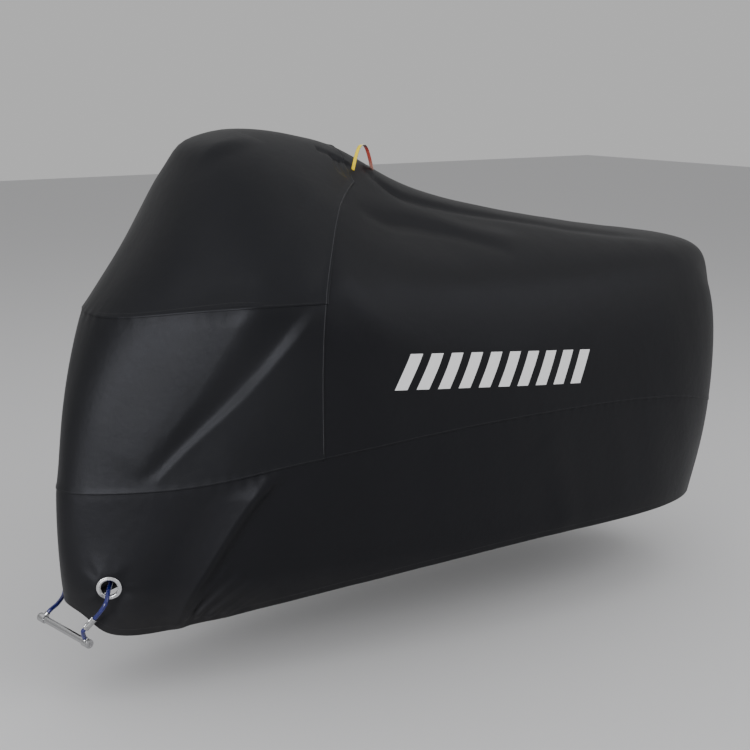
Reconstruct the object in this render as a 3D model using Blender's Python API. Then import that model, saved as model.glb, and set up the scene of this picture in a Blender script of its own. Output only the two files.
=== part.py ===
# Motorcycle cover: a fitted cloth shell with its pull loop, two eyelets and a cable lock.
# Metres, +Z up. -X is the front, +X the rear, -Y the machine's left side.
# The tables give heights above the ground and lengths from the front axle line.
# The frame's origin is under the crown of the hood, on the centre plane.
import math

import bmesh
import bpy
from mathutils import Vector

MOUNT = Vector((0.27, 0.0, 1.3026))

CLOTH = 0.002            # thickness of the coated cloth, hems and seams included
SEAM_GAP = 0.0008        # level or place step left open between two panels

# Share of the way up from hem to crown at the lines that the tables are given for
HEM, LOW_SEAM, WAIST, SHOULDER, CROWN = 0.0, 0.34, 0.66, 0.85, 1.0
LEVELS = (HEM, LOW_SEAM, WAIST, SHOULDER, CROWN)
RIM = 0.93               # level where the walls stop and the top sheet starts
ARCH = -0.44             # column of the seam between the hood and the body

FRONT_POWER = 2.5        # roundness of the plan at the front and the rear
REAR_POWER = 5.0
SIDE_POWER = 2.3         # roundness across
CROWN_POWER = 2.4        # roundness over the top

# A row for each section along the cover. x, half_width: at hem, low seam, waist,
# shoulder and crown. height: at hem, low seam, waist and crown.
SECTIONS = (
    {"name": "nose", "place": -1.0, "x": (-0.210, -0.230, -0.225, 0.010, 0.090),
     "half_width": (0.135, 0.150, 0.240, 0.325, 0.405), "height": (0.235, 0.510, 0.870, 1.325)},
    {"name": "fender", "place": -0.65, "x": (-0.085, 0.015, 0.025, 0.090, 0.155),
     "half_width": (0.160, 0.270, 0.350, 0.385, 0.405), "height": (0.175, 0.535, 0.925, 1.450)},
    {"name": "bars", "place": -0.3, "x": (0.395, 0.315, 0.250, 0.315, 0.450),
     "half_width": (0.275, 0.365, 0.480, 0.440, 0.315), "height": (0.230, 0.590, 0.950, 1.305)},
    {"name": "tank", "place": 0.1, "x": (0.835, 0.800, 0.780, 0.680, 0.760),
     "half_width": (0.330, 0.385, 0.415, 0.365, 0.290), "height": (0.260, 0.610, 0.925, 1.145)},
    {"name": "seat", "place": 0.6, "x": (1.340, 1.400, 1.420, 1.480, 1.370),
     "half_width": (0.335, 0.350, 0.355, 0.345, 0.320), "height": (0.250, 0.570, 0.880, 1.025)},
    {"name": "tail", "place": 1.0, "x": (1.705, 1.785, 1.885, 1.930, 1.925),
     "half_width": (0.310, 0.320, 0.330, 0.330, 0.325), "height": (0.230, 0.465, 0.800, 1.035)},
)

# Folds of each side wall, in side view: from, to (x, height), half width and rise along the normal
FOLDS = (
    {"name": "bar ridge", "start": (0.262, 0.945), "end": (-0.030, 0.550), "wide": 0.020, "rise": 0.012},
    {"name": "bar valley", "start": (0.215, 0.925), "end": (-0.065, 0.565), "wide": 0.030, "rise": -0.024},
    {"name": "fender ridge", "start": (0.175, 0.560), "end": (0.015, 0.250), "wide": 0.022, "rise": 0.010},
    {"name": "fender valley", "start": (0.205, 0.500), "end": (0.060, 0.230), "wide": 0.026, "rise": -0.012},
    {"name": "tank fold high", "start": (0.560, 1.150), "end": (1.050, 1.045), "wide": 0.018, "rise": -0.010},
    {"name": "tank fold low", "start": (0.450, 1.110), "end": (0.900, 1.000), "wide": 0.026, "rise": -0.011},
    {"name": "tail fold", "start": (1.000, 1.050), "end": (1.550, 0.985), "wide": 0.022, "rise": -0.008},
)

FOLD_ENDS = 4             # a fold fades out over this part of its length at each end
FOLD_CENTRE = 0.08        # and this close to the centre plane

EYELET_AT = Vector((-0.145, -0.111, 0.298))
EYELET_FACING = Vector((-0.45, -0.885, -0.10)).normalized()
EYELET_FLAT = 0.048      # cloth within this distance of an eyelet lies flat
EYELET_FADE = 0.115      # and past this distance it is undisturbed
EYELET_HOLE = 0.0212     # radius of the hole in the cloth
EYELET_HOLE_SIDES = 28
EYELET_BORE = 0.019
EYELET_BARREL = 0.0204
EYELET_WASHER = 0.028    # radius of the flange inside the cover
EYELET_RING = 0.0305     # radius of the flange outside
EYELET_GAP = 0.0006      # between the cloth and each flange

LOOP_FEET = (Vector((0.505, -0.118, 1.2185)), Vector((0.594, -0.064, 1.2105)))
LOOP_RISE = 0.060
LOOP_WIDTH = 0.010
LOOP_TAPE = 0.0015
LOOP_PARTS = 24
LOOP_POWER = 2.4          # flatness of the arch's crest
LOOP_PINCH = 0.12         # how far its legs lean in

CABLE_RADIUS = 0.005
HEAD_NEAR = Vector((-0.197, -0.090, 0.168))
HEAD_FAR = Vector((-0.2455, 0.0725, 0.1775))
HEAD_RADIUS = 0.0105
HEAD_LENGTH = 0.022
BARREL_RADIUS = 0.008
STUB_NEAR = Vector((-0.368, -0.294, 0.882)).normalized()
STUB_FAR = Vector((0.70, -0.13, 0.70)).normalized()
STUB_RADIUS = 0.0065
STUB_REACH = 0.0175      # from the head's centre to the end of the stub
FERRULE_TOP = Vector((-0.187, -0.130, 0.244))
FERRULE_LOW = Vector((-0.208, -0.112, 0.213))
FERRULE_RADIUS = 0.0077
FERRULE_LENGTH = 0.034
TOUCH = 0.0003           # gap that touching pieces keep
SIDES = 24

BLACK = (0.013, 0.013, 0.016, 1.0)
GREY = (0.030, 0.031, 0.035, 1.0)
SILVER = (0.62, 0.63, 0.64, 1.0)
YELLOW = (0.75, 0.55, 0.06, 1.0)
BLUE = (0.012, 0.020, 0.20, 1.0)


def clear_scene():
    for old in list(bpy.data.objects):
        bpy.data.objects.remove(old)


def material(name, colour, roughness, metallic=0.0):
    made = bpy.data.materials.new(name)
    made.use_nodes = True
    shader = made.node_tree.nodes["Principled BSDF"]
    shader.inputs["Base Color"].default_value = colour
    shader.inputs["Roughness"].default_value = roughness
    shader.inputs["Metallic"].default_value = metallic
    made.diffuse_color = colour
    return made


def add_object(name, shape, look):
    mesh = bpy.data.meshes.new(name)
    shape.to_mesh(mesh)
    shape.free()
    mesh.shade_smooth()
    mesh.materials.append(look)
    made = bpy.data.objects.new(name, mesh)
    bpy.context.scene.collection.objects.link(made)
    return made


def soft_curve(knots, values, t):
    """Value at t of a smooth curve through the values at the knots."""
    last = len(knots) - 1
    t = min(max(t, knots[0]), knots[last])
    i = max(k for k in range(last) if knots[k] <= t)
    step = knots[i + 1] - knots[i]
    u = (t - knots[i]) / step

    def slope(k):
        low, high = max(k - 1, 0), min(k + 1, last)
        return (values[high] - values[low]) / (knots[high] - knots[low])

    share = u * u * (3 - 2 * u)
    start_bend = u * (1 - u) * (1 - u) * step * slope(i)
    end_bend = u * u * (u - 1) * step * slope(i + 1)
    return values[i] + share * (values[i + 1] - values[i]) + start_bend + end_bend


PLACES = [row["place"] for row in SECTIONS]
COLUMNS = {key: list(zip(*(row[key] for row in SECTIONS))) for key in ("x", "half_width", "height")}


def table(key, levels, place, level):
    """Reads one table at a place along the cover and a level up it."""
    return soft_curve(levels, [soft_curve(PLACES, column, place) for column in COLUMNS[key]], level)


def cloth_point(place, side, level):
    """Outer face of the cloth before its folds."""
    x = table("x", LEVELS, place, level)
    y = side * table("half_width", LEVELS, place, level)
    z = table("height", (HEM, LOW_SEAM, WAIST, CROWN), place, level)
    return Vector((x, y, z))


def plan_power(place):
    return FRONT_POWER if place < 0 else REAR_POWER


def wall_place(a, b, level):
    """Place and side of a wall point; one of a and b is -1 or 1."""
    left = 1 - level ** CROWN_POWER
    place = a * (left / 2) ** (1 / plan_power(a))
    side = b * (left / 2) ** (1 / SIDE_POWER)
    if abs(b) == 1:
        side = b * max(left - abs(place) ** plan_power(a), 0) ** (1 / SIDE_POWER)
    else:
        place = a * max(left - abs(side) ** SIDE_POWER, 0) ** (1 / plan_power(a))
    return place, side


def top_place(a, b):
    """Place, side and level of a point of the top sheet, blended from its four edges."""
    u, v = (a + 1) / 2, (b + 1) / 2
    edges = ((1 - v, wall_place(a, -1, RIM)), (v, wall_place(a, 1, RIM)),
             (1 - u, wall_place(-1, b, RIM)), (u, wall_place(1, b, RIM)))
    corners = (((1 - u) * (1 - v), wall_place(-1, -1, RIM)), (u * (1 - v), wall_place(1, -1, RIM)),
               ((1 - u) * v, wall_place(-1, 1, RIM)), (u * v, wall_place(1, 1, RIM)))
    place, side = (sum(share * at[i] for share, at in edges)
                   - sum(share * at[i] for share, at in corners) for i in (0, 1))
    left = 1 - abs(place) ** plan_power(place) - abs(side) ** SIDE_POWER
    return place, side, max(left, 0) ** (1 / CROWN_POWER)


def steps(start, end, count):
    return [start + (end - start) * i / count for i in range(count)]


SIDE_COLUMNS = (steps(-1, ARCH - SEAM_GAP, 13) + [ARCH - SEAM_GAP, ARCH + SEAM_GAP]
                + steps(ARCH + 0.09, 1, 13) + [1])
END_COLUMNS = steps(-1, 1, 12) + [1]
ROWS = (steps(HEM, 0.16, 4) + steps(0.16, LOW_SEAM - SEAM_GAP, 2) + [LOW_SEAM - SEAM_GAP, LOW_SEAM + SEAM_GAP]
        + steps(LOW_SEAM + 0.06, WAIST - SEAM_GAP, 4) + [WAIST - SEAM_GAP, WAIST + SEAM_GAP]
        + steps(WAIST + 0.045, RIM, 5) + [RIM])

PANELS = ("skirt_panel", "band_panel", "hood_panel", "body_panel")
NO_PANEL = len(PANELS)


def panel_index(a, level):
    """Which panel a spot belongs to; the open seams belong to none."""
    if abs(level - LOW_SEAM) < SEAM_GAP * 0.9:
        return NO_PANEL
    if level < LOW_SEAM:
        return 0
    if abs(a - ARCH) < SEAM_GAP * 0.9:
        return NO_PANEL
    if a > ARCH:
        return 3
    if abs(level - WAIST) < SEAM_GAP * 0.9:
        return NO_PANEL
    return 1 if level < WAIST else 2


def add_sheet(shape, columns, rows, spot, panel_at):
    """A grid whose corners are moved onto the cloth. spot and panel_at take a column and a row value."""
    wide, high = len(columns) - 1, len(rows) - 1
    made = bmesh.ops.create_grid(shape, x_segments=wide, y_segments=high, size=0.5)
    cell = {}
    for vert in made["verts"]:
        cell[vert] = (round((vert.co.x + 0.5) * wide), round((vert.co.y + 0.5) * high))
    for face in {face for vert in made["verts"] for face in vert.link_faces}:
        across = sum(columns[cell[vert][0]] for vert in face.verts) / 4
        up = sum(rows[cell[vert][1]] for vert in face.verts) / 4
        face.material_index = panel_at(across, up)
    for vert in made["verts"]:
        i, j = cell[vert]
        vert.co = spot(columns[i], rows[j])


def ease(t):
    t = min(max(t, 0), 1)
    return t * t * (3 - 2 * t)


def fold_rise(at):
    """How far the folds push the cloth out at a point of a side wall."""
    spot = Vector((at.x, at.z))
    total = 0
    for fold in FOLDS:
        start, end = Vector(fold["start"]), Vector(fold["end"])
        run = end - start
        t = (spot - start).dot(run) / run.length_squared
        off = (spot - start - run * min(max(t, 0), 1)).length / fold["wide"]
        ends = ease(FOLD_ENDS * t + 0.5) * ease(FOLD_ENDS * (1 - t) + 0.5)
        total += fold["rise"] * math.exp(-off * off) * ends
    return total * ease(abs(at.y) / FOLD_CENTRE)


def flattened(at):
    """Draws the cloth into the plane of an eyelet near it."""
    for sign in (1, -1):
        flip = Vector((1, sign, 1))
        centre, facing = EYELET_AT * flip, EYELET_FACING * flip
        height = (at - centre).dot(facing)
        share = 1 - ease(((at - centre - facing * height).length - EYELET_FLAT) / (EYELET_FADE - EYELET_FLAT))
        if (at - centre).length < EYELET_FADE:
            at = at - facing * height * share
    return at


def build_skin():
    """The whole outer face of the cover, with each face's panel as its material index."""
    skin = bmesh.new()

    def wall(a_of, b_of):
        return lambda along, level: cloth_point(*wall_place(a_of(along), b_of(along), level), level)

    add_sheet(skin, SIDE_COLUMNS, ROWS, wall(lambda t: t, lambda t: -1), panel_index)
    add_sheet(skin, SIDE_COLUMNS, ROWS, wall(lambda t: t, lambda t: 1), panel_index)
    add_sheet(skin, END_COLUMNS, ROWS, wall(lambda t: -1, lambda t: t), lambda t, up: panel_index(-1, up))
    add_sheet(skin, END_COLUMNS, ROWS, wall(lambda t: 1, lambda t: t), lambda t, up: panel_index(1, up))
    bmesh.ops.remove_doubles(skin, verts=skin.verts, dist=0.00001)
    cap_top(skin)
    bmesh.ops.recalc_face_normals(skin, faces=skin.faces)
    skin.normal_update()
    moves = {vert: vert.co + vert.normal * fold_rise(vert.co) for vert in skin.verts}
    for vert, spot in moves.items():
        vert.co = flattened(spot) - MOUNT
    return skin


def cap_top(skin):
    """The top sheet: as many columns as the side walls and as many rows as the front wall."""
    add_sheet(skin, SIDE_COLUMNS, END_COLUMNS, lambda a, b: cloth_point(*top_place(a, b)),
              lambda a, b: panel_index(a, 1))
    bmesh.ops.remove_doubles(skin, verts=skin.verts, dist=0.00001)


def add_panels(skin, looks):
    panels = {}
    for index, name in enumerate(PANELS):
        piece = skin.copy()
        others = [face for face in piece.faces if face.material_index != index]
        bmesh.ops.delete(piece, geom=others, context="FACES")
        for face in piece.faces:
            face.material_index = 0
        panels[name] = add_object(name, piece, looks[name])
        thick = panels[name].modifiers.new("thickness", "SOLIDIFY")
        thick.thickness = CLOTH
        thick.offset = -1
    skin.free()
    return panels


def aimed(direction):
    """Rotation that turns +Z to the direction."""
    return direction.to_track_quat("Z", "Y")


def turned(name, outline, centre, direction, look):
    """A closed outline of (radius, height) pairs turned about an axis."""
    shape = bmesh.new()
    verts = [shape.verts.new((radius, 0, height)) for radius, height in outline]
    edges = [shape.edges.new((verts[i - 1], verts[i])) for i in range(len(verts))]
    bmesh.ops.spin(shape, geom=verts + edges, axis=(0, 0, 1), angle=math.tau, steps=SIDES,
                   use_merge=True, use_duplicate=False)
    bmesh.ops.remove_doubles(shape, verts=shape.verts, dist=0.00001)
    loose = [edge for edge in shape.edges if not edge.link_faces]
    bmesh.ops.delete(shape, geom=loose, context="EDGES")
    bmesh.ops.recalc_face_normals(shape, faces=shape.faces)
    made = add_object(name, shape, look)
    made.data.set_sharp_from_angle(angle=0.6)
    made.location = centre - MOUNT
    made.rotation_mode = "QUATERNION"
    made.rotation_quaternion = aimed(direction)
    return made


def cylinder(name, radius, length, sides):
    shape = bmesh.new()
    bmesh.ops.create_cone(shape, cap_ends=True, segments=sides, radius1=radius, radius2=radius, depth=length)
    mesh = bpy.data.meshes.new(name)
    shape.to_mesh(mesh)
    shape.free()
    made = bpy.data.objects.new(name, mesh)
    bpy.context.scene.collection.objects.link(made)
    made.rotation_mode = "QUATERNION"
    made.hide_render = True
    made.display_type = "WIRE"
    return made


def combine(target, tool, operation):
    change = target.modifiers.new(tool.name, "BOOLEAN")
    change.operation = operation
    change.solver = "EXACT"
    change.object = tool


def add_eyelets(skirt, look):
    """Both eyelets, spool-shaped, with the cloth held between their two flanges."""
    inner = -CLOTH - EYELET_GAP
    washer_back = inner - 0.0018
    edge, face = EYELET_GAP + 0.0010, EYELET_GAP + 0.0022
    outline = ((EYELET_BORE, washer_back), (EYELET_WASHER, washer_back), (EYELET_WASHER, inner),
               (EYELET_BARREL, inner), (EYELET_BARREL, EYELET_GAP), (EYELET_RING, EYELET_GAP),
               (EYELET_RING, edge), (EYELET_RING - 0.0030, face), (EYELET_BORE + 0.0025, face),
               (EYELET_BORE, edge))
    for name, sign in (("eyelet_near", 1), ("eyelet_far", -1)):
        flip = Vector((1, sign, 1))
        turned(name, outline, EYELET_AT * flip, EYELET_FACING * flip, look)
        hole = cylinder(name + "_hole", EYELET_HOLE, 0.05, EYELET_HOLE_SIDES)
        hole.location = EYELET_AT * flip - MOUNT
        hole.rotation_quaternion = aimed(EYELET_FACING * flip)
        combine(skirt, hole, "DIFFERENCE")


def add_loop(look):
    """The pull loop: a narrow tape bent into an arch across the top."""
    first, last = (foot - MOUNT for foot in LOOP_FEET)
    middle, reach = (first + last) / 2, (last - first) / 2
    across = reach.cross(Vector((0, 0, 1))).normalized() * LOOP_WIDTH / 2
    shape = bmesh.new()
    made = bmesh.ops.create_grid(shape, x_segments=LOOP_PARTS, y_segments=1, size=1)
    for vert in made["verts"]:
        t = vert.co.x
        along = t * (1 - LOOP_PINCH * (1 - t * t))
        lift = Vector((0, 0, LOOP_RISE * (1 - abs(t) ** LOOP_POWER)))
        vert.co = middle + reach * along + across * vert.co.y + lift
    loop = add_object("pull_loop", shape, look)
    thick = loop.modifiers.new("thickness", "SOLIDIFY")
    thick.thickness = LOOP_TAPE
    thick.offset = 0
    return loop


def smooth_route(points, parts):
    """Points along a soft curve through the route, at even steps between its own points."""
    last = len(points) - 1

    def heading(k):
        before, after = points[max(k - 1, 0)], points[min(k + 1, last)]
        lengths = (points[k] - before).length + (after - points[k]).length
        return (after - before) / lengths

    route = []
    for i in range(last):
        start, run = points[i], points[i + 1] - points[i]
        lean_in, lean_out = heading(i) * run.length, heading(i + 1) * run.length
        for k in range(parts):
            t = k / parts
            route.append(start + run * ease(t) + lean_in * t * (1 - t) ** 2 + lean_out * t * t * (t - 1))
    return route + [points[-1]]


def cable_route():
    """From the near head through the ferrule and both eyelets to the far head."""
    near_end = [HEAD_NEAR + STUB_NEAR * (STUB_REACH + TOUCH + run) for run in (0, 0.003, 0.006)]
    far_end = [HEAD_FAR + STUB_FAR * (STUB_REACH + TOUCH + run) for run in (0.008, 0.004, 0)]
    straight = (FERRULE_TOP - FERRULE_LOW).normalized() * 0.006
    ferrule = [FERRULE_LOW - straight, FERRULE_LOW, FERRULE_TOP, FERRULE_TOP + straight]
    bend = [Vector((-0.1765, -0.1405, 0.2620)), Vector((-0.1665, -0.1450, 0.2800))]
    threaded = [EYELET_AT + EYELET_FACING * 0.020, EYELET_AT, Vector((-0.1330, -0.0880, 0.3000))]
    mirror = Vector((1, -1, 1))
    inside = [Vector((-0.1250, 0.0000, 0.2950))]
    back = [spot * mirror for spot in reversed(threaded)]
    far = [Vector((-0.1590, 0.1460, 0.2720)), Vector((-0.1640, 0.1400, 0.2320)),
           Vector((-0.1800, 0.1120, 0.2080)), Vector((-0.2060, 0.0810, 0.2015))]
    return smooth_route(near_end + ferrule + bend + threaded + inside + back + far + far_end, 3)


def add_cable(look):
    curve = bpy.data.curves.new("lock_cable", "CURVE")
    curve.dimensions = "3D"
    curve.bevel_depth = CABLE_RADIUS
    curve.bevel_resolution = 2
    curve.use_fill_caps = True
    line = curve.splines.new("POLY")
    route = cable_route()
    line.points.add(len(route) - 1)
    for point, spot in zip(line.points, route):
        point.co = (spot - MOUNT).to_4d()
    curve.materials.append(look)
    cable = bpy.data.objects.new("lock_cable", curve)
    bpy.context.scene.collection.objects.link(cable)
    return cable


def add_lock(look):
    """A round bar with a wider head at each end, which the two cable ends go into."""
    axis = (HEAD_FAR - HEAD_NEAR).normalized()
    half = (HEAD_FAR - HEAD_NEAR).length / 2 - HEAD_LENGTH / 2 - TOUCH
    turned("lock_barrel", ((0, -half), (BARREL_RADIUS, -half), (BARREL_RADIUS, half), (0, half)),
           (HEAD_NEAR + HEAD_FAR) / 2, axis, look)
    reach, edge = HEAD_LENGTH / 2, 0.003
    head = ((0, -reach), (HEAD_RADIUS - edge, -reach), (HEAD_RADIUS, edge - reach),
            (HEAD_RADIUS, reach - edge), (HEAD_RADIUS - edge, reach), (0, reach))
    ends = (("lock_head_near", HEAD_NEAR, STUB_NEAR), ("lock_head_far", HEAD_FAR, STUB_FAR))
    for name, centre, stub in ends:
        made = turned(name, head, centre, axis, look)
        collar = cylinder(name + "_collar", STUB_RADIUS, STUB_REACH, SIDES)
        collar.location = centre + stub * STUB_REACH / 2 - MOUNT
        collar.rotation_quaternion = aimed(stub)
        combine(made, collar, "UNION")
    slack = CABLE_RADIUS + TOUCH
    half = FERRULE_LENGTH / 2
    turned("lock_ferrule", ((slack, -half), (FERRULE_RADIUS, -half), (FERRULE_RADIUS, half), (slack, half)),
           (FERRULE_TOP + FERRULE_LOW) / 2, (FERRULE_TOP - FERRULE_LOW).normalized(), look)


def main():
    clear_scene()
    cloth = material("black cloth", BLACK, 0.55)
    sheen = material("grey cloth", GREY, 0.45)
    metal = material("bright metal", SILVER, 0.25, 1.0)
    looks = {"skirt_panel": cloth, "band_panel": sheen, "hood_panel": sheen, "body_panel": cloth}
    panels = add_panels(build_skin(), looks)
    add_eyelets(panels["skirt_panel"], metal)
    add_loop(material("yellow tape", YELLOW, 0.6))
    add_lock(metal)
    add_cable(material("blue cable", BLUE, 0.3))


main()
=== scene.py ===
import math

import bmesh
import bpy
import numpy as np
from mathutils import Matrix, Vector, noise
from mathutils.bvhtree import BVHTree
from mathutils.kdtree import KDTree


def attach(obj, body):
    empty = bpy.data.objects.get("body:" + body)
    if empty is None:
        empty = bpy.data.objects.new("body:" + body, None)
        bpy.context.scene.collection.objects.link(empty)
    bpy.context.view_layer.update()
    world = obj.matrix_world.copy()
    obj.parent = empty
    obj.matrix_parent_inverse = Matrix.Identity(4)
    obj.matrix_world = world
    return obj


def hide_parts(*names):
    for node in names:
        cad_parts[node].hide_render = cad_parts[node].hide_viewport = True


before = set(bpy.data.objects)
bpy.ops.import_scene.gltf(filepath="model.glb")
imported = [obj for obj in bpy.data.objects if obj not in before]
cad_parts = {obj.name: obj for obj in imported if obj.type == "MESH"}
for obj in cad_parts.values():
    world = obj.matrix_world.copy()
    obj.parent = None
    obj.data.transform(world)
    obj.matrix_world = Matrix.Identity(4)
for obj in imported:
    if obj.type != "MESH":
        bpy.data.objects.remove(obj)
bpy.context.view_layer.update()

# The tables give lengths from a line 0.27 m in front of the crown, and heights above the ground.
originAt = Vector((0.27, 0.0, 1.3026))  # where the frame's origin is, under the crown of the hood
mirror = Vector((1, -1, 1))
bothSides = {"near": Vector((1, 1, 1)), "far": mirror}


def smooth(t):
    t = np.clip(t, 0.0, 1.0)
    return t * t * (3 - 2 * t)


def linkObject(name, data, look):
    made = bpy.data.objects.new(name, data)
    bpy.context.scene.collection.objects.link(made)
    data.materials.append(look)
    return made


def cornersOf(item):
    return sorted(corner.co[:] for corner in getattr(item, "verts", (item,)))


def inOrder(shape):  # by place, so that each run gives the same mesh
    for items in (shape.verts, shape.edges, shape.faces):
        ranks = {item: rank for rank, item in enumerate(sorted(items, key=cornersOf))}
        items.sort(key=ranks.get)


def shapeToObject(name, shape, look, sharpAngle=None):
    inOrder(shape)
    mesh = bpy.data.meshes.new(name)
    shape.to_mesh(mesh)
    shape.free()
    mesh.shade_smooth()
    if sharpAngle:
        mesh.set_sharp_from_angle(angle=sharpAngle)
    return linkObject(name, mesh, look)


def readField(items, field, width=1, kind=float):
    flat = np.empty(len(items) * width, kind)
    items.foreach_get(field, flat)
    return flat.reshape(-1, width) if width > 1 else flat


def readPoints(mesh):
    return readField(mesh.vertices, "co", 3)


def writePoints(mesh, points):
    mesh.vertices.foreach_set("co", np.ascontiguousarray(points).ravel())
    mesh.update()


def settle(piece, slot, *nodes):  # every piece rides on the one body
    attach(piece, "root")
    if nodes:
        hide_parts(*nodes)
    return piece


def signNode(operation, swapped=False):  # one of Python's signs, as a Math node
    def apply(first, second):
        pair = (second, first) if swapped else (first, second)
        return first.look.maths(operation, *pair)
    return apply


class Signal:  # a node's output that Python's signs work on
    def __init__(self, look, socket):
        self.look = look
        self.socket = socket

    __add__ = __radd__ = signNode("ADD")
    __mul__ = __rmul__ = signNode("MULTIPLY")
    __sub__, __rsub__ = signNode("SUBTRACT"), signNode("SUBTRACT", True)
    __truediv__ = signNode("DIVIDE")
    __gt__, __lt__ = signNode("GREATER_THAN"), signNode("LESS_THAN")


class Look:  # a material with one Principled shader
    def __init__(self, name, **fixed):
        self.material = bpy.data.materials.new(name)
        self.material.use_nodes = True
        self.tree = self.material.node_tree
        self.shader = self.tree.nodes["Principled BSDF"]
        for socketName, value in fixed.items():
            self.shader.inputs[socketName].default_value = value

    def node(self, kind, settings, inputs, output=0):
        made = self.tree.nodes.new("ShaderNode" + kind)
        for name, value in settings.items():
            if name == "stops":
                self.setStops(made.color_ramp, value)
            else:
                setattr(made, name, value)
        for name, value in inputs.items():
            self.feed(made.inputs[name], value)
        return Signal(self, made.outputs[output])

    def maths(self, operation, first, second=0.0):
        return self.node("Math", {"operation": operation}, {0: first, 1: second})

    def setStops(self, ramp, stops):
        ramp.elements[0].position, ramp.elements[0].color = stops[0]
        ramp.elements[1].position, ramp.elements[1].color = stops[1]
        for place, colour in stops[2:]:
            ramp.elements.new(place).color = colour

    def feed(self, socket, value):
        if isinstance(value, Signal):
            self.tree.links.new(value.socket, socket)
        else:
            socket.default_value = value

    def varying(self, **signals):
        for name, value in signals.items():
            self.feed(self.shader.inputs[name.replace("_", " ")], value)

    def blend(self, share, first, second):
        return self.node("Mix", {"data_type": "RGBA"}, {0: share, 6: first, 7: second}, 2)

    def bump(self, height, distance, strength=1.0):
        return self.node("Bump", {}, {"Height": height, "Distance": distance, "Strength": strength})

    def place(self):
        return self.node("TexCoord", {}, {}, "Object")

    def parts(self, vector):
        split = self.node("SeparateXYZ", {}, {"Vector": vector}).socket.node
        return [Signal(self, output) for output in split.outputs]

    def cloudy(self, vector, scale, detail=2.0, rough=0.5):
        return self.node("TexNoise", {}, {"Vector": vector, "Scale": scale, "Detail": detail,
                                          "Roughness": rough})


studio = {
    "eye": (-1.2817, -2.5559, 0.1130),
    "facing": (0.528, 0.815, -0.239),
    "lens": 57.6,
    "sensor": 36.0,
    "farthest": 60.0,
    "ground": -1.3026,
    "floorSize": 30.0,
    "floorTone": (0.60, 0.60, 0.61, 1.0),
    "sky": 0.53,
    "lamps": (
        {"name": "overhead", "at": (-0.5, -0.5, 3.0), "aim": (-0.5, -0.5, 0.0),
         "wide": 10.0, "tall": 9.0, "power": 130.0},
        {"name": "key", "at": (2.4, -3.2, 1.15), "aim": (0.3, 0.0, -0.3),
         "wide": 4.4, "tall": 3.2, "power": 66.0},
        {"name": "left", "at": (-3.2, -1.8, -0.2), "aim": (-0.2, 0.0, -0.5),
         "wide": 1.6, "tall": 1.8, "power": 105.0},
    ),
}


def standInStudio(name, data, at, facing):
    made = bpy.data.objects.new(name, data)
    made.location = at
    made.rotation_mode = "QUATERNION"
    made.rotation_quaternion = facing.to_track_quat("-Z", "Y")
    bpy.context.scene.collection.objects.link(made)
    return made


def buildStudio():
    lens = bpy.data.cameras.new("camera")
    lens.lens = studio["lens"]
    lens.sensor_width = studio["sensor"]
    lens.clip_end = studio["farthest"]
    camera = standInStudio("camera", lens, studio["eye"], Vector(studio["facing"]))
    bpy.context.scene.camera = camera

    world = bpy.data.worlds.new("studio")
    world.use_nodes = True
    backdrop = world.node_tree.nodes["Background"]
    backdrop.inputs["Color"].default_value = (1.0, 1.0, 1.0, 1.0)
    backdrop.inputs["Strength"].default_value = studio["sky"]
    bpy.context.scene.world = world

    for lamp in studio["lamps"]:
        light = bpy.data.lights.new(lamp["name"], "AREA")
        light.shape = "ELLIPSE"
        light.size, light.size_y = lamp["wide"], lamp["tall"]
        light.energy = lamp["power"]
        facing = Vector(lamp["aim"]) - Vector(lamp["at"])
        standInStudio(lamp["name"], light, lamp["at"], facing).visible_camera = False

    floorLook = Look("pale floor", Roughness=0.9)
    floorLook.shader.inputs["Base Color"].default_value = studio["floorTone"]
    floor = bmesh.new()
    bmesh.ops.create_grid(floor, x_segments=1, y_segments=1, size=studio["floorSize"] / 2,
                          matrix=Matrix.Translation((0, 0, studio["ground"])))
    shapeToObject("floor", floor, floorLook.material)
    print("studio set")


buildStudio()


eyelet = {
    "at": Vector((-0.145, -0.111, 0.298)),
    "facing": Vector((-0.45, -0.885, -0.10)).normalized(),
    "flat": 0.034,  # cloth lies flat within this distance
    "fade": 0.130,  # and is undisturbed past this one
    "hole": 0.0225, "holeSearch": 0.036,
    "grip": 8,  # how sharply the cloth bends away past the ring
    "pleat": 0.0007, "pleatDepth": 0.05,
    "pleats": ((7, 0.6, 1.0), (12, 0.0, 0.5)),  # how many around, where they start, and their share
    "pleatStart": (0.031, 0.012), "pleatEnd": (0.045, 0.050),  # from the centre, and over what length
    "profile": (  # radius and height over the cloth, round the ring's section
        (0.0190, -0.0024), (0.0190, 0.0010), (0.0196, 0.0024), (0.0212, 0.0034), (0.0230, 0.0036),
        (0.0244, 0.0030), (0.0256, 0.0026), (0.0268, 0.0029), (0.0277, 0.0027), (0.0284, 0.0019),
        (0.0288, 0.0008), (0.0286, 0.0001), (0.0280, -0.0001), (0.0215, -0.0001), (0.0215, -0.0014),
        (0.0272, -0.0014), (0.0280, -0.0020), (0.0278, -0.0030), (0.0262, -0.0036), (0.0208, -0.0036),
        (0.0196, -0.0032)),
}

lock = {
    "nearHead": Vector((-0.197, -0.090, 0.168)),
    "farHead": Vector((-0.2455, 0.0725, 0.1775)),
    "nearStub": Vector((-0.368, -0.294, 0.882)).normalized(),
    "farStub": Vector((0.70, -0.13, 0.70)).normalized(),
    "stubReach": 0.0175,
    "stubRadius": 0.0065,
    "gap": 0.0003,
    "headRadius": 0.0105,
    "headLength": 0.022,
    "barrelRadius": 0.008,
    "ferruleTop": Vector((-0.187, -0.130, 0.244)),
    "ferruleLow": Vector((-0.208, -0.112, 0.213)),
    "ferruleRadius": 0.0077,
    "ferruleLength": 0.034,
}

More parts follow.
